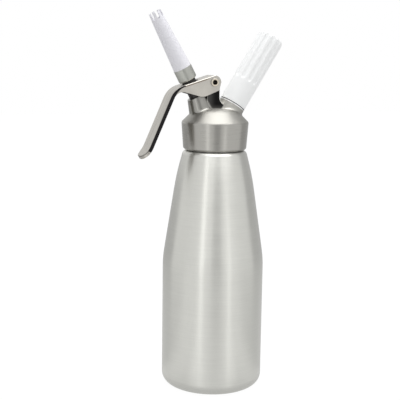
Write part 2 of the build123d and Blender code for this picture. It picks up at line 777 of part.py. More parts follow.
# Piercer: a screwed insert with a hollow needle and a seal that the charger's neck is pressed on
with BuildPart() as piercer_body:
    with BuildSketch(charger_plane.offset(piercer_station)):
        Circle(piercer_radius - fixed_fit)
        Circle(needle_radius + fixed_fit, mode=Mode.SUBTRACT)
    extrude(amount=piercer_length)
piercer_body.part.label = "piercer_body"
export_step(piercer_body.part, "parts/piercer_body.step")

with BuildPart() as piercing_pin:
    with BuildSketch(charger_section):
        with BuildLine():
            Polyline(
                (needle_bore_radius, piercer_station),
                (needle_radius, piercer_station),
                (needle_radius, charger_station),
                (needle_bore_radius, charger_station + needle_reach),
                close=True,
            )
        make_face()
    revolve(axis=charger_axis)
piercing_pin.part.label = "piercing_pin"
export_step(piercing_pin.part, "parts/piercing_pin.step")

with BuildPart() as charger_seal:
    with BuildSketch(charger_plane.offset(seal_station)):
        Circle(piercer_radius - moving_gap)
        Circle(needle_radius + moving_gap, mode=Mode.SUBTRACT)
    extrude(amount=charger_seal_thickness)
charger_seal.part.label = "charger_seal"
export_step(charger_seal.part, "parts/charger_seal.step")

# Gas charger: a steel capsule, its neck pierced
charger_top = charger_station + charger_length
neck_top = charger_station + charger_neck_length
body_station = neck_top + charger_shoulder_length
with BuildPart() as gas_charger:
    with BuildSketch(charger_section):
        with BuildLine():
            FilletPolyline(
                (needle_radius + moving_gap, charger_station),
                (charger_neck_radius, charger_station),
                (charger_neck_radius, neck_top),
                (charger_radius, body_station),
                (charger_radius, charger_top),
                (0, charger_top),
                (0, charger_top - charger_wall),
                (charger_radius - charger_wall, charger_top - charger_wall),
                (charger_radius - charger_wall, body_station),
                (needle_radius + moving_gap, neck_top),
                radius=[
                    0,
                    charger_neck_edge_radius,
                    charger_neck_blend,
                    charger_shoulder_blend,
                    charger_end_radius,
                    0,
                    0,
                    charger_end_radius - charger_wall,
                    charger_shoulder_blend - charger_wall,
                    0,
                ],
                close=True,
            )
        make_face()
    revolve(axis=charger_axis)
gas_charger.part.label = "gas_charger"
export_step(gas_charger.part, "parts/gas_charger.step")

# Charger holder: a plastic cup over the charger, screwed on the spigot, with flutes round its upper length
holder_station = charger_boss_top + holder_gap
holder_top = holder_station + holder_length
flute_station = holder_station + holder_plain_length + flute_radius
flute_orbit = holder_radius + flute_radius - flute_depth
with BuildPart() as charger_holder:
    with BuildSketch(charger_section):
        with BuildLine():
            FilletPolyline(
                (spigot_radius + running_fit, holder_station),
                (holder_radius, holder_station),
                (holder_radius, holder_top),
                (0, holder_top),
                (0, charger_top + moving_gap),
                (charger_radius + moving_gap, charger_top + moving_gap),
                (charger_radius + moving_gap, spigot_top + moving_gap),
                (spigot_radius + running_fit, spigot_top + moving_gap),
                radius=[0, 0, holder_end_radius, 0, 0, 0, 0, 0],
                close=True,
            )
        make_face()
    revolve(axis=charger_axis)
    with BuildSketch(charger_plane.offset(flute_station)) as flutes:
        with PolarLocations(flute_orbit, flute_count, flute_turn):
            Circle(flute_radius)
    extrude(amount=holder_length, mode=Mode.SUBTRACT)
    with Locations(charger_plane.offset(flute_station)):
        with PolarLocations(flute_orbit, flute_count, flute_turn):
            Sphere(flute_radius, mode=Mode.SUBTRACT)
charger_holder.part.label = "charger_holder"
export_step(charger_holder.part, "parts/charger_holder.step")

# Check valve in the ceiling of the head: a rubber mushroom on a screwed ring
retainer_top_z = ceiling_z + retainer_thickness
with BuildPart() as check_valve_retainer:
    with BuildSketch(Plane.XY.offset(ceiling_z)):
        with Locations((check_x, 0)):
            Circle(check_pocket_radius - fixed_fit)
            Circle(retainer_bore_radius, mode=Mode.SUBTRACT)
    extrude(amount=retainer_thickness)
check_valve_retainer.part.label = "check_valve_retainer"
export_step(check_valve_retainer.part, "parts/check_valve_retainer.step")

with BuildPart() as check_valve:
    with BuildSketch(Plane.XY.offset(retainer_top_z)):
        with Locations((check_x, 0)):
            Circle(check_disc_radius)
    extrude(amount=check_disc_thickness)
    with BuildSketch(Plane.XY.offset(retainer_top_z - check_stem_length)):
        with Locations((check_x, 0)):
            Circle(check_stem_radius)
    extrude(amount=check_stem_length)
check_valve.part.label = "check_valve"
export_step(check_valve.part, "parts/check_valve.step")
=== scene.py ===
import logging
from dataclasses import dataclass
from math import cos, pi, radians, sin, tan
from typing import Any, Dict, List, Optional, Sequence, Tuple, Union

import bpy
from mathutils import Matrix, Vector


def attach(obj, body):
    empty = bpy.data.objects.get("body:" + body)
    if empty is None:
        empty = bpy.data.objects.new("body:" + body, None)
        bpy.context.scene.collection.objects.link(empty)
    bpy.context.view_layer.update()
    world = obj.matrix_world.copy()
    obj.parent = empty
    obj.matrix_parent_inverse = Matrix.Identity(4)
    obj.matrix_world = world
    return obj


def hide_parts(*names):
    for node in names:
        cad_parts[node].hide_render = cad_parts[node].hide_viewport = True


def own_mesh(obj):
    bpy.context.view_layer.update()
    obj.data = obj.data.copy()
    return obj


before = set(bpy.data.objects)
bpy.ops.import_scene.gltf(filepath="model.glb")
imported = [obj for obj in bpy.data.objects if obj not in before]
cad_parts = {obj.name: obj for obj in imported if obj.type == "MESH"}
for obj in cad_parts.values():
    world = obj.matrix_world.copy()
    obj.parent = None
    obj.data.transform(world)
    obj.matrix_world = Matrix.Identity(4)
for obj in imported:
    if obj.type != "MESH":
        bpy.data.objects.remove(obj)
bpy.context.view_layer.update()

log = logging.getLogger("cream_whipper")

# Lengths are in millimetres and angles in degrees, unless a remark says metres.
MM = 0.001
MERGE_DISTANCE = MM / 1000  # in metres
SMOOTH_ANGLE = radians(30)
MIDDLE = 0.5  # mean of a noise, and the middle of a mix
ABOVE_ZERO = 0.0001  # keeps a distance from an axis above zero
AIM_HEIGHT = 0.2  # where lamps and cards point on the bottle's axis, in metres
MIX_FIRST, MIX_SECOND, MIX_RESULT = 6, 7, 2  # a Mix node's sockets for colours
Colour = Tuple[float, float, float]
Number = Union["Signal", float, int]


class Signal:
    """Output of a shader node, with arithmetic that adds Math nodes."""

    def __init__(self, graph: "Graph", socket: bpy.types.NodeSocket) -> None:
        """Keeps the graph and the socket."""
        self.graph = graph
        self.socket = socket

    def math(self, operation: str, *values: Number) -> "Signal":
        """Adds one Math node with its inputs in order."""
        return self.graph.node("ShaderNodeMath", dict(enumerate(values)), {"operation": operation})

    def __add__(self, other: Number) -> "Signal":
        """Sum."""
        return self.math("ADD", self, other)

    __radd__ = __add__

    def __sub__(self, other: Number) -> "Signal":
        """Difference."""
        return self.math("SUBTRACT", self, other)

    def __rsub__(self, other: Number) -> "Signal":
        """Difference from a number."""
        return self.math("SUBTRACT", other, self)

    def __mul__(self, other: Number) -> "Signal":
        """Product."""
        return self.math("MULTIPLY", self, other)

    def __truediv__(self, other: Number) -> "Signal":
        """Quotient."""
        return self.math("DIVIDE", self, other)

    def __pow__(self, other: Number) -> "Signal":
        """Power."""
        return self.math("POWER", self, other)

    def size(self) -> "Signal":
        """Value without its sign."""
        return self.math("ABSOLUTE", self)

    def maximum(self, other: Number) -> "Signal":
        """Larger of two values."""
        return self.math("MAXIMUM", self, other)

    def past(self, place: float, soft: float) -> "Signal":
        """1 past a place, with a soft edge."""
        return self.graph.step(self, place - soft, place + soft)

    def between(self, start: float, end: float, soft: float) -> "Signal":
        """1 from a start to an end, with soft edges."""
        return self.past(start, soft) * (1 - self.past(end, soft))


class Graph:
    """Node tree of a material or the world."""

    def __init__(self, tree: bpy.types.NodeTree) -> None:
        """Takes a tree and empties it."""
        self.tree = tree
        tree.nodes.clear()

    def node(
        self,
        kind: str,
        sockets: Optional[Dict[Union[int, str], Any]] = None,
        settings: Optional[Dict[str, Any]] = None,
        output: Union[int, str] = 0,
    ) -> Optional[Signal]:
        """Adds a node, sets it up and links it.

        Args:
            kind: Blender's name of the node type.
            sockets: values or signals of the inputs, by index or name.
            settings: properties of the node, set before its inputs.
            output: the output that is wanted, by index or name.

        Returns:
            That output, or None from a node that ends the graph.
        """
        made = self.tree.nodes.new(kind)
        for key, value in (settings or {}).items():
            setattr(made, key, value)
        for key, value in (sockets or {}).items():
            if isinstance(value, Signal):
                self.tree.links.new(value.socket, made.inputs[key])
            else:
                made.inputs[key].default_value = value
        return Signal(self, made.outputs[output]) if len(made.outputs) else None

    def mix(self, factor: Number, first: Any, second: Any) -> Signal:
        """Mixes two colours or their signals: a factor of 0 gives the first, 1 the second."""
        values = {0: factor, MIX_FIRST: first, MIX_SECOND: second}
        return self.node("ShaderNodeMix", values, {"data_type": "RGBA"}, MIX_RESULT)

    def noise(self, vector: Signal, scale: float, detail: float = 2.0, roughness: float = 0.5) -> Signal:
        """Noise around 0.5 over a vector: cells per unit, octaves and weight of the finer octaves."""
        values = {"Vector": vector, "Scale": scale, "Detail": detail, "Roughness": roughness}
        return self.node("ShaderNodeTexNoise", values)

    def step(self, value: Number, start: float, end: float) -> Signal:
        """Smooth step of a value, 0 up to a start and 1 from an end."""
        values = {"Value": value, "From Min": start, "From Max": end}
        return self.node("ShaderNodeMapRange", values, {"interpolation_type": "SMOOTHSTEP"})

    def split(self, vector: Signal) -> Tuple[Signal, Signal, Signal]:
        """Splits a vector into its three parts."""
        parts = self.node("ShaderNodeSeparateXYZ", {0: vector})
        return tuple(Signal(self, socket) for socket in parts.socket.node.outputs)

    def vector(self, x: Number, y: Number, z: Number) -> Signal:
        """Joins three values to a vector."""
        return self.node("ShaderNodeCombineXYZ", {0: x, 1: y, 2: z})

    def bump(self, height: Number, depth: float, strength: float) -> Signal:
        """Normal of a surface with a height from 0 to 1, where 1 stands for the depth."""
        values = {"Strength": strength, "Distance": depth * MM, "Height": height}
        return self.node("ShaderNodeBump", values)


def blend(signals: Sequence[Signal], shares: Sequence[float]) -> Signal:
    """Sum of signals, each times its share."""
    return sum(signal * share for signal, share in zip(signals, shares))


def new_material(name: str) -> Tuple[bpy.types.Material, Graph]:
    """Adds a material with an empty graph.

    Args:
        name: name of the material.

    Returns:
        The material and its graph.
    """
    material = bpy.data.materials.new(name)
    material.use_nodes = True
    return material, Graph(material.node_tree)


@dataclass(frozen=True)
class Axis:
    """A leaning axis in the plane of the nozzle and the charger.

    Attributes:
        origin: a point of it, in metres.
        tilt: lean about Y, to +X.
    """

    origin: Tuple[float, float, float]
    tilt: float

    def matrix(self) -> Matrix:
        """Place of this axis, with Z along it."""
        return Matrix.Translation(self.origin) @ Matrix.Rotation(radians(self.tilt), 4, "Y")

    def place(self, graph: Graph) -> Signal:
        """Object coordinates about this axis, with Z along it."""
        values = {
            "Vector": graph.node("ShaderNodeTexCoord", output="Object"),
            "Location": self.origin,
            "Rotation": (0, radians(self.tilt), 0),
            "Scale": (MM, MM, MM),
        }
        return graph.node("ShaderNodeMapping", values, {"vector_type": "TEXTURE"})

    def round(self, graph: Graph) -> Tuple[Signal, Signal, Signal, Signal]:
        """X, Y and Z along the axis, and the distance from the axis."""
        x, y, z = graph.split(self.place(graph))
        return x, y, z, (x * x + y * y + ABOVE_ZERO) ** 0.5


UPRIGHT = Axis((0, 0, 0), 0.0)
STEM = Axis((0, 0, 0.244), -28.5)
VALVE_BOSS = Axis((-0.01933, 0, 0.27959), -18.7)
CHARGER = Axis((0, 0, 0.244), 31.6)
PLATE = Axis((-0.005, 0, 0.2926), -17.5)


@dataclass(frozen=True)
class BossSide:
    """Side of a boss of the head.

    Attributes:
        axis: axis of the boss.
        radius: radius where the axis has its origin.
        draft: lean of the side.
    """

    axis: Axis
    radius: float
    draft: float = 0.0

    def outside(self, graph: Graph) -> Signal:
        """How far a point lies outside the side."""
        _, _, station, radius = self.axis.round(graph)
        return radius - (self.radius - station * tan(radians(self.draft)))


VALVE_SIDE = BossSide(VALVE_BOSS, 8.7, 9.5)
CHARGER_SIDE = BossSide(CHARGER, 12.75)


def facing_side(graph: Graph) -> Signal:
    """How squarely a surface faces +Y or -Y, from 0 to 1."""
    return graph.split(graph.node("ShaderNodeTexCoord", output="Normal"))[1].size()


@dataclass(frozen=True)
class Marking:
    """A part of a surface with its own colour and roughness.

    Attributes:
        colour: its colour, or None to keep what is there.
        roughness: its roughness.
    """

    colour: Optional[Colour]
    roughness: float

    def mask(self, graph: Graph) -> Signal:
        """1 where the marking is."""
        raise NotImplementedError

    def lay(self, graph: Graph, colour: Signal, rough: Signal) -> Tuple[Signal, Signal]:
        """Lays the marking over a surface.

        Args:
            graph: graph of the material.
            colour: the surface's colour.
            rough: its roughness.

        Returns:
            The colour and the roughness with the marking.
        """
        mask = self.mask(graph)
        if self.colour:
            colour = graph.mix(mask, colour, self.colour + (1.0,))
        return colour, rough * (1 - mask) + mask * self.roughness


@dataclass(frozen=True)
class PaintedWebLight(Marking):
    """Painted shade on the flats of the web between the two bosses of the head, or a painted highlight on its
    round edges.

    Attributes:
        foot: height over the floor where the web starts.
        foot_fade: how far the marking fades out under and over the foot.
        valve_fade: width of the soft edge at the valve boss.
        charger_fade: width of the soft edge at the charger boss.
        flat: how squarely a flat faces +Y or -Y, where it starts to count and where it counts in full.
        edges: whether it is the painted highlight on the round edges and not the painted shade on the flats.
        start: how far along X the marking starts.
        soft: how far its edge there and its foot fade out further.
    """

    foot: float = 268.6
    foot_fade: Tuple[float, float] = (1.2, 0.3)
    valve_fade: float = 1.6
    charger_fade: float = 1.0
    flat: Tuple[float, float] = (0.7, 0.95)
    edges: bool = False
    start: float = -60.0
    soft: float = 0.5

    def mask(self, graph: Graph) -> Signal:
        """1 on the web's flats or on its edges.

        Args:
            graph: graph of the material.

        Returns:
            The mask.
        """
        clear_of_valve = graph.step(VALVE_SIDE.outside(graph), 0.0, self.valve_fade)
        clear_of_charger = graph.step(CHARGER_SIDE.outside(graph), 0.0, self.charger_fade)
        across, _, height, _ = UPRIGHT.round(graph)
        under, over = self.foot_fade
        above = graph.step(height, self.foot - under, self.foot + over + self.soft)
        along = across.past(self.start, self.soft)
        flat = graph.step(facing_side(graph), *self.flat)
        return clear_of_valve * clear_of_charger * above * along * (1 - flat if self.edges else flat)


@dataclass(frozen=True)
class Crown(Marking):
    """Dome of the head round the valve boss, or the side of that boss.

    Attributes:
        foot: height of the dome's edge.
        boss: whether it is the boss and not the dome.
        foot_fade: how far the dome's edge fades out.
        boss_fade: how far the boss's root fades out inwards and outwards.
    """

    foot: float
    boss: bool = False
    foot_fade: float = 0.3
    boss_fade: Tuple[float, float] = (-0.2, 0.8)

    def mask(self, graph: Graph) -> Signal:
        """1 on the dome or on the boss.

        Args:
            graph: graph of the material.

        Returns:
            The mask.
        """
        off_boss = graph.step(VALVE_SIDE.outside(graph), *self.boss_fade)
        above = UPRIGHT.round(graph)[2].past(self.foot, self.foot_fade)
        return above * (1 - off_boss if self.boss else off_boss)


@dataclass(frozen=True)
class PaintedJointRing(Marking):
    """A thin ring round the top of the charger boss, for the painted shade in the joint and the painted
    highlight under it.

    Attributes:
        start: station where it starts.
        end: station where it ends.
        inner: inner radius.
        outer: outer radius.
        along: how far its ends fade out.
        across: how far its inner and outer edges fade out.
    """

    start: float
    end: float
    inner: float
    outer: float
    along: float = 0.08
    across: float = 0.1

    def mask(self, graph: Graph) -> Signal:
        """1 on the ring."""
        _, _, station, off = CHARGER.round(graph)
        return station.between(self.start, self.end, self.along) * off.between(
            self.inner, self.outer, self.across
        )


@dataclass(frozen=True)
class LeverShape:
    """Outer face of the lever, from the plate round the bend and down the grip to the lip.

    Attributes:
        plate_height: height of the plate's outer face over the pivot.
        plate_length: from the pivot to the corner of the bend.
        bend_radius: outer radius of the bend.
        bend_turn: turn of the bend.
        grip_length: length of the grip from the bend to the lip.
        lip_radius: radius of the lip's flare.
        seam: half the length over which the bend's depth changes to the grip's.
    """

    plate_height: float = 6.2
    plate_length: float = 39.2
    bend_radius: float = 20.0
    bend_turn: float = 49.0
    grip_length: float = 47.8
    lip_radius: float = 21.0
    seam: float = 0.3

    def unrolled(self, graph: Graph) -> Tuple[Signal, Signal, Signal]:
        """Coordinates along the outer face.

        Args:
            graph: graph of the material.

        Returns:
            Place along the plate from the start of the bend, place down the grip from the end of the bend,
            and depth under the bend, the grip and the lip.
        """
        u, _, v = graph.split(PLATE.place(graph))
        turn = radians(self.bend_turn)
        along = u - (self.bend_radius * tan(turn / 2) - self.plate_length)
        over = v - (self.plate_height - self.bend_radius)
        down = along * -cos(turn) + over * -sin(turn)
        under = along * sin(turn) - over * cos(turn) + (self.bend_radius + self.lip_radius)
        past = (down - self.grip_length).maximum(0.0)
        grip_depth = (past * past + under * under) ** 0.5 - self.lip_radius
        bend_depth = self.bend_radius - (along * along + over * over) ** 0.5
        on_grip = down.past(0.0, self.seam)
        return along, down, grip_depth * on_grip + bend_depth * (1 - on_grip)


@dataclass(frozen=True)
class GripFlangeShade(Marking):
    """Painted shade on the sides of the lever's grip flanges, thinning out round the bend.

    Attributes:
        shape: the lever's shape.
        skin: depth at which the painted shade starts.
        flange: depth at which it ends on the grip.
        wedge: how fast it thins out round the bend.
        end: where down the grip it ends.
        end_fade: how far it fades out there.
        plate_fade: where it starts and ends to fade out on the plate, from the bend.
        flat: how squarely a side faces +Y or -Y, where it starts to count and where it counts in full.
        soft: how far its long edges fade out.
    """

    shape: LeverShape = LeverShape()
    skin: float = 0.25
    flange: float = 4.2
    wedge: float = 0.19
    end: float = 53.0
    end_fade: float = 0.4
    plate_fade: Tuple[float, float] = (1.0, 3.0)
    flat: Tuple[float, float] = (0.3, 0.5)
    soft: float = 0.1

    def mask(self, graph: Graph) -> Signal:
        """1 on the flanges.

        Args:
            graph: graph of the material.

        Returns:
            The mask.
        """
        along, down, depth = self.shape.unrolled(graph)
        limit = self.flange - (down * -1).maximum(0.0) * self.wedge
        sides = graph.step(facing_side(graph), *self.flat)
        off_plate = 1 - graph.step(along, *self.plate_fade)
        off_lip = 1 - down.past(self.end, self.end_fade)
        in_depth = (depth - self.skin).past(0.0, self.soft) * (limit - depth).past(0.0, self.soft)
        return in_depth * sides * (off_plate * off_lip)


@dataclass(frozen=True)
class LipCreaseShade(Marking):
    """Painted shade in the crease where the lip turns over at its end.

    Attributes:
        shape: the lever's shape.
        start: where down the grip it starts.
        depth: where it starts and ends under the outer face.
        start_fade: how far its start fades out.
        soft: how far its long edges fade out.
    """

    shape: LeverShape = LeverShape()
    start: float = 52.5
    depth: Tuple[float, float] = (0.35, 1.1)
    start_fade: float = 0.4
    soft: float = 0.15

    def mask(self, graph: Graph) -> Signal:
        """1 in the crease."""
        _, down, depth = self.shape.unrolled(graph)
        return depth.between(*self.depth, self.soft) * down.past(self.start, self.start_fade)


@dataclass(frozen=True)
class PlateFoldShade(Marking):
    """Painted shade in a line under the fold of the lever's plate, on its cheeks.

    Attributes:
        shape: the lever's shape.
        depth: where the line starts and ends under the plate's outer face.
        reach: where it starts and ends along the plate from the pivot.
        fade: how far its ends fade out.
        soft: how far its long edges fade out.
    """

    shape: LeverShape = LeverShape()
    depth: Tuple[float, float] = (0.9, 1.7)
    reach: Tuple[float, float] = (-34.0, -5.0)
    fade: float = 3.0
    soft: float = 0.2

    def mask(self, graph: Graph) -> Signal:
        """1 in the line."""
        u, _, v = graph.split(PLATE.place(graph))
        return (self.shape.plate_height - v).between(*self.depth, self.soft) * u.between(
            *self.reach, self.fade
        )


@dataclass(frozen=True)
class PinRing(Marking):
    """A ring on the lever pin.

    Attributes:
        inner: inner radius.
        outer: outer radius.
        soft: how far its edges fade out.
    """

    inner: float
    outer: float
    soft: float = 0.12

    def mask(self, graph: Graph) -> Signal:
        """1 on the ring."""
        u, _, v = graph.split(PLATE.place(graph))
        return ((u * u + v * v) ** 0.5).between(self.inner, self.outer, self.soft)


def pick(piece: bpy.types.Object) -> None:
    """Selects one piece and nothing else.

    Args:
        piece: the piece.
    """
    bpy.ops.object.select_all(action="DESELECT")
    piece.select_set(True)
    bpy.context.view_layer.objects.active = piece


def copied(node: str, name: str) -> Tuple[bpy.types.Object, List[Tuple[float, ...]]]:
    """Copies a solid and merges the copy's faces.

    Args:
        node: the solid.
        name: name of the copy.

    Returns:
        The copy, and the normals at the corners of the solid's faces.
    """
    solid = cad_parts[node]
    normals = [tuple(corner.vector) for corner in solid.data.corner_normals]
    piece = bpy.data.objects.new(name, solid.data.copy())
    bpy.context.scene.collection.objects.link(piece)
    pick(piece)
    bpy.ops.object.mode_set(mode="EDIT")
    bpy.ops.mesh.select_all(action="SELECT")
    bpy.ops.mesh.remove_doubles(threshold=MERGE_DISTANCE)
    bpy.ops.mesh.select_mode(type="VERT")
    bpy.ops.mesh.select_all(action="DESELECT")
    bpy.ops.object.mode_set(mode="OBJECT")
    return piece, normals


def keep_shading(piece: bpy.types.Object, normals: List[Tuple[float, ...]]) -> None:
    """Shades a copy as its solid is shaded, or by angle where merging has dropped faces.

    Args:
        piece: the copy.
        normals: the normals at the corners of the solid's faces.
    """
    if len(normals) == len(piece.data.loops):
        piece.data.normals_split_custom_set(normals)
    else:
        pick(piece)
        bpy.ops.object.shade_smooth_by_angle(angle=SMOOTH_ANGLE)


@dataclass(frozen=True)
class ScrewThread:
    """A screw thread on a round stretch of a solid.

    Attributes:
        axis: axis of the thread.
        start: station where the round stretch starts.
        end: station where it ends.
        radius: radius over its crests.
        pitch: rise in one turn.
        depth: from its crests to its root.
        plain: length without thread at either end.
        root_share: width of the ridge at its foot, as a share of the pitch.
        crest_share: width of the ridge at its crest, as a share of its foot.
        sunk_share: how deep the ridge's foot lies in the root, as a share of the depth.
        crest_gap: how far the crest stays inside the radius.
        reach: how far past its ends the stretch's points are looked for.
        tolerance: how far off the radius these points may lie.
        steps: faces in one turn.
    """

    axis: Axis
    start: float
    end: float
    radius: float
    pitch: float
    depth: float
    plain: float = 1.2
    root_share: float = 0.66
    crest_share: float = 0.3
    sunk_share: float = 0.2
    crest_gap: float = 0.02
    reach: float = 0.1
    tolerance: float = 0.03
    steps: int = 60

    def turned_down(self, node: str, name: str) -> bpy.types.Object:
        """Copies a solid with its round stretch turned down to the root of the thread.

        Args:
            node: the solid.
            name: name of the copy.

        Returns:
            The copy.
        """
        piece, normals = copied(node, name)
        piece.data.transform(self.axis.matrix().inverted())
        for vertex in piece.data.vertices:
            x, y, z = vertex.co / MM
            on_stretch = self.start - self.reach < z < self.end + self.reach
            vertex.select = on_stretch and abs((x * x + y * y) ** 0.5 - self.radius) < self.tolerance
        self._scale_in((self.radius - self.depth) / self.radius)
        piece.data.transform(self.axis.matrix())
        keep_shading(piece, normals)
        return piece

    def ridge(self, name: str) -> bpy.types.Object:
        """Models the ridge that winds round the turned stretch.

        Args:
            name: name of the ridge.

        Returns:
            The ridge.
        """
        sunk = self.depth * self.sunk_share
        low = self.start + self.plain + self.pitch * self.root_share / 2
        turns = (self.end - self.start - 2 * self.plain) / self.pitch - self.root_share
        height = self.depth + sunk - self.crest_gap
        middle = self.radius - self.crest_gap - height / 2
        bpy.ops.object.select_all(action="DESELECT")
        bpy.ops.mesh.primitive_plane_add(
            size=1.0, location=(middle * MM, 0, low * MM), rotation=(radians(90), 0, 0)
        )
        piece = bpy.context.active_object
        piece.name = name
        piece.scale = (height * MM, self.pitch * self.root_share * MM, 1.0)
        bpy.ops.object.transform_apply(location=True, rotation=True, scale=True)
        bpy.ops.object.mode_set(mode="EDIT")
        bpy.ops.mesh.select_mode(type="VERT")
        bpy.ops.mesh.select_all(action="DESELECT")
        bpy.ops.object.mode_set(mode="OBJECT")
        for vertex in piece.data.vertices:
            vertex.select = vertex.co.x > middle * MM
        bpy.ops.object.mode_set(mode="EDIT")
        bpy.ops.transform.resize(value=(1, 1, self.crest_share), center_override=(0, 0, low * MM))
        bpy.ops.mesh.select_all(action="SELECT")
        bpy.ops.mesh.delete(type="ONLY_FACE")
        bpy.ops.object.mode_set(mode="OBJECT")
        wind = piece.modifiers.new("wind", "SCREW")
        wind.axis = "Z"
        wind.angle = 2 * pi * turns
        wind.screw_offset = self.pitch * turns * MM
        wind.steps = wind.render_steps = round(self.steps * turns)
        bpy.ops.object.modifier_apply(modifier=wind.name)
        bpy.ops.object.mode_set(mode="EDIT")
        bpy.ops.mesh.select_all(action="DESELECT")
        bpy.ops.mesh.select_non_manifold()
        bpy.ops.object.mode_set(mode="OBJECT")
        self._scale_in((self.radius - self.depth) / self.radius)
        bpy.ops.object.mode_set(mode="EDIT")
        bpy.ops.mesh.select_all(action="SELECT")
        bpy.ops.mesh.fill_holes(sides=4)
        bpy.ops.mesh.select_all(action="SELECT")
        bpy.ops.mesh.normals_make_consistent(inside=False)
        bpy.ops.object.mode_set(mode="OBJECT")
        bpy.ops.object.shade_smooth_by_angle(angle=SMOOTH_ANGLE)
        piece.data.transform(self.axis.matrix())
        return piece

    @staticmethod
    def _scale_in(share: float) -> None:
        """Scales what is selected on the active piece towards the upright axis.

        Args:
            share: what is left of the distance from the axis.
        """
        bpy.ops.object.mode_set(mode="EDIT")
        bpy.ops.transform.resize(value=(share, share, 1.0), center_override=(0, 0, 0))
        bpy.ops.object.mode_set(mode="OBJECT")

    def build(self, node: str, names: Tuple[str, str], body: str, slot: str) -> None:
        """Puts a threaded copy in the place of a solid.

        Args:
            node: the solid.
            names: names of the copy and of its ridge.
            body: the body that both ride on.
            slot: the record's material slot of both; not used.
        """
        turned, ridge = self.turned_down(node, names[0]), self.ridge(names[1])
        ridge.data.materials.append(turned.data.materials[0])
        for piece in (turned, ridge):
            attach(piece, body)
            log.info("modelled %s", piece.name)
        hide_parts(node)


@dataclass(frozen=True)
class Finish:
    """Look of a surface with a grain, large soft clouds and markings.

    Attributes:
        name: name of the material.
        colour: middle colour.
        roughness: middle roughness.
        metallic: 1 for metal, 0 for plastic and rubber.
        contrast: how far the colour changes at most, as a share of it.
        grain_shade: how far the grain changes the colour.
        cloud_shade: how far the clouds change the colour.
        grain_spread: how far the grain changes the roughness.
        cloud_spread: how far the clouds change the roughness.
        depth: depth of the grain.
        relief: how much of that depth shows.
        cloud_scale: clouds in a millimetre.
        axis: axis that the grain is laid about.
        anisotropy: stretch of the highlights across the lines.
        markings: parts of the surface with their own colour.
    """

    name: str
    colour: Colour
    roughness: float
    metallic: float
    contrast: float
    grain_shade: float
    cloud_shade: float
    grain_spread: float
    cloud_spread: float
    depth: float
    relief: float
    cloud_scale: float
    axis: Axis = UPRIGHT
    anisotropy: float = 0.0
    markings: Tuple[Marking, ...] = ()

    def grains(self, graph: Graph) -> Tuple[Signal, Signal]:
        """Grain of the colour and grain of the height."""
        raise NotImplementedError

    def streaks(self, graph: Graph) -> Number:
        """What streaks add to the shade, none here."""
        return 0.0

    def material(self) -> bpy.types.Material:
        """Builds the material.

        Returns:
            The material.
        """
        material, graph = new_material(self.name)
        grain, height = self.grains(graph)
        grain = grain - MIDDLE
        clouds = graph.noise(self.axis.place(graph), self.cloud_scale, detail=3.0) - MIDDLE
        shade = grain * self.grain_shade + clouds * self.cloud_shade + MIDDLE + self.streaks(graph)
        dark = tuple(value * (1 - self.contrast) for value in self.colour) + (1.0,)
        light = tuple(min(value * (1 + self.contrast), 1.0) for value in self.colour) + (1.0,)
        colour = graph.mix(shade, dark, light)
        rough = self.roughness + grain * self.grain_spread + clouds * self.cloud_spread
        for marking in self.markings:
            colour, rough = marking.lay(graph, colour, rough)
        values = {
            "Base Color": colour,
            "Metallic": self.metallic,
            "Roughness": rough,
            "Normal": graph.bump(height, self.depth, self.relief),
            "Anisotropic": self.anisotropy,
            "Anisotropic Rotation": 0.25,
        }
        shader = graph.node("ShaderNodeBsdfPrincipled", values)
        graph.node("ShaderNodeOutputMaterial", {"Surface": shader})
        return material


@dataclass(frozen=True)
class TurnedMetal(Finish):
    """Metal with fine lines that run round its axis.

    Attributes:
        line: width of a line.
        band: width of a broad band, in lines.
        fine: how much finer the finest lines are.
        changes: how often a line and a band change round the axis.
        shares: shares of the lines, the bands and the finest lines in the colour.
        depths: their shares in the depth.
    """

    roughness: float = 0.3
    metallic: float = 1.0
    contrast: float = 0.2
    grain_shade: float = 0.48
    cloud_shade: float = 0.2
    grain_spread: float = 0.2
    cloud_spread: float = 0.1
    depth: float = 0.01
    relief: float = 0.35
    cloud_scale: float = 0.035
    anisotropy: float = 0.6
    line: float = 0.35
    band: float = 3.4
    fine: float = 3.1
    changes: Tuple[float, float] = (2.2, 1.7)
    shares: Tuple[float, float, float] = (0.4, 0.4, 0.2)
    depths: Tuple[float, float, float] = (0.5, 0.25, 0.25)

    def grains(self, graph: Graph) -> Tuple[Signal, Signal]:
        """Lines, bands and finest lines.

        Args:
            graph: graph of the material.

        Returns:
            Their sums in the colour and in the depth.
        """
        x, y, z, radius = self.axis.round(graph)
        x, y, width = x / radius, y / radius, self.line * self.band
        often, seldom = self.changes
        rings = graph.vector(x * often, y * often, z / self.line)
        broad = graph.vector(x * seldom, y * seldom, z / width + radius / width)
        noises = (
            graph.noise(rings, 1.0, detail=3.0, roughness=0.6),
            graph.noise(broad, 1.0),
            graph.noise(rings, self.fine, roughness=0.7),
        )
        return blend(noises, self.shares), blend(noises, self.depths)


@dataclass(frozen=True)
class Grained(Finish):
    """Surface with an even grain, and with fine streaks where it has them.

    Attributes:
        grain: size of the grain.
        octaves: octaves of the grain's noise.
        harshness: weight of the finer octaves.
        streak: how far streaks in the plane of the nozzle and the charger change the colour.
        streak_scale: cells of these streaks in a millimetre along X, Y and Z.
    """

    grain: float = 0.3
    octaves: float = 2.0
    harshness: float = 0.5
    streak: float = 0.0
    streak_scale: Tuple[float, float, float] = (0.03, 0.9, 0.03)

    def grains(self, graph: Graph) -> Tuple[Signal, Signal]:
        """One grain for both."""
        grain = graph.noise(self.axis.place(graph), 1.0 / self.grain, self.octaves, self.harshness)
        return grain, grain

    def streaks(self, graph: Graph) -> Number:
        """What streaks add to the shade.

        Args:
            graph: graph of the material.

        Returns:
            The added shade.
        """
        if not self.streak:
            return 0.0
        places = graph.split(self.axis.place(graph))
        cells = graph.vector(*(place * scale for place, scale in zip(places, self.streak_scale)))
        return (graph.noise(cells, 1.0) - MIDDLE) * self.streak


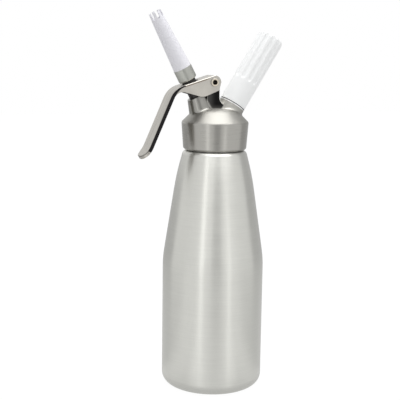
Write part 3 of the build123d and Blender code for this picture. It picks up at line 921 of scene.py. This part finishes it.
@dataclass(frozen=True)
class SatinMetal(Grained):
    """Tumbled or plated metal with a soft even sheen."""

    roughness: float = 0.32
    metallic: float = 1.0
    contrast: float = 0.12
    grain_shade: float = 0.4
    cloud_shade: float = 0.64
    grain_spread: float = 0.08
    cloud_spread: float = 0.16
    depth: float = 0.01
    relief: float = 0.3
    cloud_scale: float = 0.09
    octaves: float = 3.0
    harshness: float = 0.6


@dataclass(frozen=True)
class Moulded(Grained):
    """Moulded plastic or rubber."""

    roughness: float = 0.4
    metallic: float = 0.0
    contrast: float = 0.03
    grain_shade: float = 0.3
    cloud_shade: float = 0.8
    grain_spread: float = 0.1
    cloud_spread: float = 0.12
    depth: float = 0.006
    relief: float = 0.08
    cloud_scale: float = 0.05
    grain: float = 0.7


def dress(finishes: Dict[str, Finish]) -> None:
    """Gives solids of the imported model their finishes.

    Args:
        finishes: the finish of each solid, by its name.
    """
    for node, finish in finishes.items():
        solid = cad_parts[node]
        solid.data.materials.clear()
        solid.data.materials.append(bpy.data.materials.get(finish.name) or finish.material())
        log.info("dressed %s in %s", node, finish.name)


RUBBER = Moulded("seal_rubber", (0.03, 0.03, 0.03), roughness=0.6)
TURNED_BRASS = SatinMetal("turned_brass", (0.55, 0.43, 0.27))
STEEL = SatinMetal("bright_steel", (0.6, 0.6, 0.6))


@dataclass
class Bottle:
    """Bottle and its gasket.

    Attributes:
        colour: colour of the brushed metal.
        thread: thread of the neck, from the ledge under it to its rim.
    """

    colour: Colour = (0.6, 0.6, 0.566)
    thread: ScrewThread = ScrewThread(UPRIGHT, start=228.7, end=248.2, radius=26.0, pitch=4.0, depth=1.1)

    def build(self) -> None:
        """Dresses the bottle and the gasket and cuts the neck's thread."""
        brushed = TurnedMetal("brushed_bottle", self.colour, roughness=0.36, anisotropy=0.8, grain_shade=0.64)
        dress({"bottle": brushed, "head_gasket": RUBBER})
        self.thread.build("bottle", ("bottle_body", "neck_thread"), "bottle", "bottle_aluminium")


@dataclass
class Head:
    """Head with its bosses and web, and the check valve in its ceiling.

    Attributes:
        colour: colour of the turned metal.
        thread: thread of the charger's spigot.
        shoulder: height of the top of the head's turned side.
        rim_margin: how far the joint lines lie off the spigot and past its boss.
        gap: where the painted shade in the joint starts and ends, from the spigot's foot.
        glint: where the painted highlight under it starts and ends.
    """

    colour: Colour = (0.375, 0.368, 0.343)
    thread: ScrewThread = ScrewThread(CHARGER, start=33.2, end=45.2, radius=11.0, pitch=2.5, depth=0.8)
    shoulder: float = 255.3
    rim_margin: float = 0.3
    gap: Tuple[float, float] = (-0.5, 0.5)
    glint: Tuple[float, float] = (-1.3, -0.6)

    def painted_joint_ring(self, ends: Tuple[float, float], colour: Colour, roughness: float) -> PaintedJointRing:
        """A ring round the joint between the head and the holder, for the painted shade in the joint and the
        painted highlight under it.

        Args:
            ends: where it starts and ends, from the spigot's foot.
            colour: its colour.
            roughness: its roughness.

        Returns:
            The line.
        """
        start, end = (self.thread.start + place for place in ends)
        inner, outer = (radius + self.rim_margin for radius in (self.thread.radius, CHARGER_SIDE.radius))
        return PaintedJointRing(colour, roughness, start, end, inner, outer)

    def build(self) -> None:
        """Dresses the head, the piercer and the check valve and cuts the spigot's thread."""
        turned = TurnedMetal(
            "turned_head",
            self.colour,
            depth=0.006,
            anisotropy=0.5,
            grain_shade=0.8,
            markings=(
                Crown(colour=None, roughness=0.48, foot=self.shoulder),
                # the side of the valve boss is painted darker than the head, as painted shade for the dark
                # web that it mirrors
                Crown(colour=(0.3, 0.295, 0.275), roughness=0.3, foot=self.shoulder, boss=True),
                # painted shade on the web's flats
                PaintedWebLight(colour=(0.055, 0.054, 0.052), roughness=0.35),
                # more painted shade on the flats, darker upwards and towards the charger boss
                PaintedWebLight(colour=(0.01, 0.01, 0.01), roughness=0.35, start=-6.5, soft=4.0),
                # painted highlight on the web's round edges
                PaintedWebLight(colour=(0.8, 0.79, 0.77), roughness=0.3, edges=True, start=-1.5),
                # painted highlight under the joint
                self.painted_joint_ring(self.glint, colour=(0.9, 0.9, 0.9), roughness=0.3),
                # painted shade in the joint between the head and the holder
                self.painted_joint_ring(self.gap, colour=(0.03, 0.03, 0.03), roughness=0.5),
            ),
        )
        dress({"head": turned, "check_valve_retainer": TURNED_BRASS, "check_valve": RUBBER})
        dress({"piercer_body": TURNED_BRASS, "piercing_pin": STEEL, "charger_seal": RUBBER})
        self.thread.build("head", ("head_body", "spigot_thread"), "head", "head_aluminium")


@dataclass
class Lever:
    """Lever, its pin and the pin's clip.

    Attributes:
        sheet_colour: colour of the sheet.
        pin_colour: colour of the pin's rolled rim.
        hollow_radius: radius of the pin's hollow.
        rim_radius: outer radius of its rolled rim.
    """

    sheet_colour: Colour = (0.445, 0.427, 0.39)
    pin_colour: Colour = (0.62, 0.56, 0.46)
    hollow_radius: float = 2.35
    rim_radius: float = 3.5

    def build(self) -> None:
        """Dresses the lever and its pin."""
        sheet = SatinMetal(
            "lever_sheet",
            self.sheet_colour,
            grain=0.6,
            contrast=0.3,
            streak=1.2,
            markings=(
                # painted shade under the fold of the plate
                PlateFoldShade(colour=(0.2, 0.16, 0.13), roughness=0.4),
                # painted shade on the grip's flanges
                GripFlangeShade(colour=(0.02, 0.019, 0.02), roughness=0.4),
                # painted shade in the lip's crease
                LipCreaseShade(colour=(0.16, 0.155, 0.15), roughness=0.4),
            ),
        )
        # painted shade inside the pin's hollow
        hollow = PinRing(colour=(0.07, 0.05, 0.03), roughness=0.5, inner=-1.0, outer=self.hollow_radius)
        flange = PinRing(colour=self.sheet_colour, roughness=0.34, inner=self.rim_radius, outer=9.0)
        pin = SatinMetal("lever_pin_metal", self.pin_colour, markings=(hollow, flange))
        dress({"lever": sheet, "lever_pin": pin, "lever_pin_clip": pin})


@dataclass
class Valve:
    """Stem valve with its spring, seals and adapter.

    Attributes:
        colour: colour of the stem and the adapter, painted near-black as shade under the lever.
        thread: thread of the adapter.
        travel: how far the valve is pushed in; not used.
    """

    colour: Colour = (0.045, 0.043, 0.042)
    thread: ScrewThread = ScrewThread(STEM, start=57.9, end=67.2, radius=5.5, pitch=1.5, depth=0.55)
    travel: float = 3.45

    def build(self) -> None:
        """Dresses the valve, cuts the adapter's thread and sets in the spring."""
        # the stem and the adapter are painted near-black: painted shade under the lever
        dark = SatinMetal("stem_metal_painted_shade", self.colour, roughness=0.4)
        dress({"valve_stem": dark, "nozzle_adapter": dark, "valve_spring": STEEL})
        dress({"spring_seat": TURNED_BRASS, "valve_seal": RUBBER, "stem_o_ring": RUBBER})
        self.thread.build("nozzle_adapter", ("adapter_body", "adapter_thread"), "valve", "stem_steel")
        self._spring()

    def _spring(self) -> None:
        """Replaces the rigid spring by a copy of it that rides on the head."""
        spring, normals = copied("valve_spring", "stem_spring")
        keep_shading(spring, normals)
        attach(spring, "head")
        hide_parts("valve_spring")
        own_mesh(spring)
        log.info("modelled %s", spring.name)


@dataclass
class Nozzle:
    """Ferrule, tip and seal of the nozzle.

    Attributes:
        ferrule_colour: colour of the ferrule.
        tip_colour: colour of the tip.
    """

    ferrule_colour: Colour = (0.4, 0.405, 0.375)
    tip_colour: Colour = (0.81, 0.805, 0.85)

    def build(self) -> None:
        """Dresses the nozzle."""
        ferrule = TurnedMetal(
            "turned_ferrule", self.ferrule_colour, axis=STEM, roughness=0.36, anisotropy=0.0
        )
        tip = Moulded("tip_plastic", self.tip_colour, roughness=0.42, depth=0.002)
        dress({"nozzle_ferrule": ferrule, "decorator_tip": tip, "nozzle_seal": RUBBER})


@dataclass
class ChargerHolder:
    """Holder and the gas charger in it.

    Attributes:
        colour: colour of the holder.
    """

    colour: Colour = (0.87, 0.885, 0.877)

    def build(self) -> None:
        """Dresses the holder and the charger."""
        dress({"charger_holder": Moulded("white_plastic", self.colour, roughness=0.36), "gas_charger": STEEL})


@dataclass(frozen=True)
class Viewpoint:
    """The camera's place and aim, as fitted to the photograph.

    Attributes:
        azimuth: where it stands round the bottle.
        distance: from the bottle's axis, in metres.
        height: over the floor, in metres.
        pitch: aim below the horizon.
        yaw: aim to the right of the axis.
        roll: turn about the line of sight.
        lens: focal length.
        sensor: width of the picture that it is for.
        nearest: distance from which things show, in metres.
    """

    azimuth: float = -21.0
    distance: float = 0.85
    height: float = 0.3157
    pitch: float = 9.064
    yaw: float = -0.889
    roll: float = 0.819
    lens: float = 80.676
    sensor: float = 36.0
    nearest: float = 0.01

    def build(self) -> None:
        """Adds the camera and makes it the scene's."""
        turn, yaw, pitch, roll = (radians(a) for a in (self.azimuth, self.yaw, self.pitch, self.roll))
        ahead = Vector((-sin(turn), cos(turn), 0))
        side = Vector((cos(turn), sin(turn), 0))
        level = ahead * cos(yaw) + side * sin(yaw)
        right = side * cos(yaw) - ahead * sin(yaw)
        aim = level * cos(pitch) - Vector((0, 0, 1)) * sin(pitch)
        up = right.cross(aim)
        right, up = right * cos(roll) + up * sin(roll), up * cos(roll) - right * sin(roll)
        data = bpy.data.cameras.new("camera")
        data.lens = self.lens
        data.sensor_width = self.sensor
        data.clip_start = self.nearest
        camera = bpy.data.objects.new("camera", data)
        bpy.context.scene.collection.objects.link(camera)
        place = Matrix((right, up, -aim)).transposed().to_4x4()
        place.translation = ahead * -self.distance + Vector((0, 0, self.height))
        camera.matrix_world = place
        bpy.context.scene.camera = camera


@dataclass(frozen=True)
class Standing:
    """Something that stands round the bottle and faces it.

    Attributes:
        name: its name.
        azimuth: where it stands, from the camera's side to the right.
        height: over the floor, in metres.
        distance: from the bottle's axis, in metres.
        size: width and height, in metres.
    """

    name: str
    azimuth: float
    height: float
    distance: float
    size: Tuple[float, float]

    def place(self, camera_turn: float) -> Matrix:
        """Its place, with its -Z side to the bottle.

        Args:
            camera_turn: where the camera stands round the bottle.

        Returns:
            The place as a matrix.
        """
        turn = radians(self.azimuth + camera_turn)
        spot = Vector((sin(turn) * self.distance, -cos(turn) * self.distance, self.height))
        aim = Vector((0, 0, AIM_HEIGHT)) - spot
        return Matrix.Translation(spot) @ aim.to_track_quat("-Z", "Y").to_matrix().to_4x4()


@dataclass(frozen=True)
class SoftBox(Standing):
    """A rectangular studio lamp that doesn't show in metal.

    Attributes:
        power: watts.
    """

    power: float

    def build(self, camera_turn: float) -> None:
        """Adds the lamp.

        Args:
            camera_turn: where the camera stands round the bottle.
        """
        data = bpy.data.lights.new(self.name, "AREA")
        data.shape = "RECTANGLE"
        data.size, data.size_y = self.size
        data.energy = self.power
        lamp = bpy.data.objects.new(self.name, data)
        bpy.context.scene.collection.objects.link(lamp)
        lamp.matrix_world = self.place(camera_turn)
        lamp.visible_glossy = False


@dataclass(frozen=True)
class Card(Standing):
    """A grey card that only mirrors in the metal.

    Attributes:
        grey: its brightness.
        lying: whether it lies flat and points to the bottle.
    """

    grey: float
    lying: bool = False

    def build(self, camera_turn: float) -> None:
        """Adds the card.

        Args:
            camera_turn: where the camera stands round the bottle.
        """
        bpy.ops.object.select_all(action="DESELECT")
        bpy.ops.mesh.primitive_plane_add(size=1.0)
        card = bpy.context.active_object
        card.name = self.name
        place = self.place(camera_turn)
        if self.lying:
            place = Matrix.Translation(place.translation)
            place @= Matrix.Rotation(radians(self.azimuth + camera_turn), 4, "Z")
        card.matrix_world = place @ Matrix.Diagonal((self.size[0], self.size[1], 1.0, 1.0))
        material, graph = new_material(self.name)
        shine = {"Color": (self.grey, self.grey, self.grey, 1.0), "Strength": 1.0}
        light = graph.node("ShaderNodeEmission", shine)
        graph.node("ShaderNodeOutputMaterial", {"Surface": light})
        card.data.materials.append(material)
        card.visible_camera = False
        card.visible_diffuse = False
        card.visible_shadow = False
        card.visible_transmission = False


@dataclass
class Studio:
    """Floor, world, lamps, cards and camera.

    Attributes:
        view: the camera's viewpoint.
        ambient: the world's light on matt surfaces.
        floor_size: width of the floor, in metres.
        floor_drop: how far the floor lies under the bottle's base, in metres.
        floor_grey: brightness of the floor's matt part.
        floor_glow: brightness of its shining part.
        floor_share: share of the shining part, where the floor is seen.
        lamps: the soft boxes.
        cards: the grey cards.
    """

    view: Viewpoint = Viewpoint()
    ambient: float = 0.74
    floor_size: float = 8.0
    floor_drop: float = 0.0002
    floor_grey: float = 0.66
    floor_glow: float = 1.08
    floor_share: float = 0.88
    lamps: Tuple[SoftBox, ...] = (
        # name, azimuth, height, distance, size, power
        SoftBox("top_lamp", 20.0, 1.5, 0.25, (1.2, 1.2), 9.5),
        SoftBox("right_lamp", 85.0, 0.45, 1.2, (1.0, 1.0), 1.8),
    )
    cards: Tuple[Card, ...] = (
        # name, azimuth, height, distance, size, grey, lying
        Card("left_card", -142.0, 0.13, 0.5, (0.8, 0.26), 0.58),
        Card("right_card", 138.0, 0.3, 0.5, (0.8, 0.6), 0.6),
        Card("camera_card", 9.0, 0.28, 0.5, (0.2, 0.56), 0.52),
        Card("left_strip", -24.0, 0.28, 0.5, (0.06, 0.56), 2.15),
        Card("right_strip", 36.0, 0.11, 0.5, (0.05, 0.22), 1.9),
        Card("left_high_card", -142.0, 0.45, 0.5, (0.8, 0.36), 0.96),
        Card("top_card", 30.0, 0.9, 0.2, (0.8, 0.8), 3.9),
        Card("left_floor_card", -142.0, 0.002, 0.33, (0.8, 0.54), 0.79, True),
        Card("right_floor_card", 138.0, 0.002, 0.33, (0.8, 0.54), 0.79, True),
        Card("camera_floor_card", 9.0, 0.002, 0.33, (0.14, 0.5), 0.97, True),
        Card("left_floor_strip", -24.0, 0.002, 0.33, (0.04, 0.5), 1.3, True),
        Card("right_floor_strip", 36.0, 0.002, 0.33, (0.03, 0.5), 1.3, True),
        # a grey card under the base, mirrored in the bottle's foot as a painted contact shadow
        Card("contact_shadow_card", 0.0, 0.001, 0.0, (0.125, 0.125), 0.78, True),
    )

    def build(self) -> None:
        """Builds the studio and sets the picture's tone."""
        self._world()
        self._floor()
        for lamp in self.lamps:
            lamp.build(self.view.azimuth)
        for card in self.cards:
            card.build(self.view.azimuth)
        self.view.build()
        bpy.context.scene.view_settings.view_transform = "Standard"

    @staticmethod
    def _seen(graph: Graph) -> Signal:
        """1 for rays that see the background directly or in metal and glass.

        Args:
            graph: graph of the world or of a material.

        Returns:
            The mask.
        """
        kinds = ("Is Camera Ray", "Is Glossy Ray", "Is Transmission Ray")
        rays = [graph.node("ShaderNodeLightPath", output=kind) for kind in kinds]
        return rays[0].maximum(rays[1]).maximum(rays[2])

    def _world(self) -> None:
        """A white world that lights matt surfaces less than it shows."""
        world = bpy.data.worlds.new("white_room")
        world.use_nodes = True
        bpy.context.scene.world = world
        graph = Graph(world.node_tree)
        seen = self._seen(graph)
        strength = seen * (1.0 - self.ambient) + self.ambient
        sky = graph.node("ShaderNodeBackground", {"Color": (1, 1, 1, 1), "Strength": strength})
        graph.node("ShaderNodeOutputWorld", {"Surface": sky})

    def _floor(self) -> None:
        """A pale floor that keeps a soft shadow."""
        bpy.ops.object.select_all(action="DESELECT")
        bpy.ops.mesh.primitive_plane_add(size=self.floor_size, location=(0, 0, -self.floor_drop))
        floor = bpy.context.active_object
        floor.name = "floor"
        material, graph = new_material("pale_floor")
        grey = (self.floor_grey, self.floor_grey, self.floor_grey, 1.0)
        matt = graph.node("ShaderNodeBsdfDiffuse", {"Color": grey})
        shine = {"Color": (1, 1, 1, 1), "Strength": self.floor_glow}
        bright = graph.node("ShaderNodeEmission", shine)
        seen = self._seen(graph) * self.floor_share
        both = graph.node("ShaderNodeMixShader", {0: seen, 1: matt, 2: bright})
        graph.node("ShaderNodeOutputMaterial", {"Surface": both})
        floor.data.materials.append(material)


def main() -> None:
    """Builds and dresses the pieces in order."""
    logging.basicConfig(level=logging.INFO, format="%(name)s: %(message)s")
    for assembly in (Bottle(), Head(), Lever(), Valve(), Nozzle(), ChargerHolder(), Studio()):
        assembly.build()
        log.info("built %s", type(assembly).__name__)


if __name__ == "__main__":
    main()
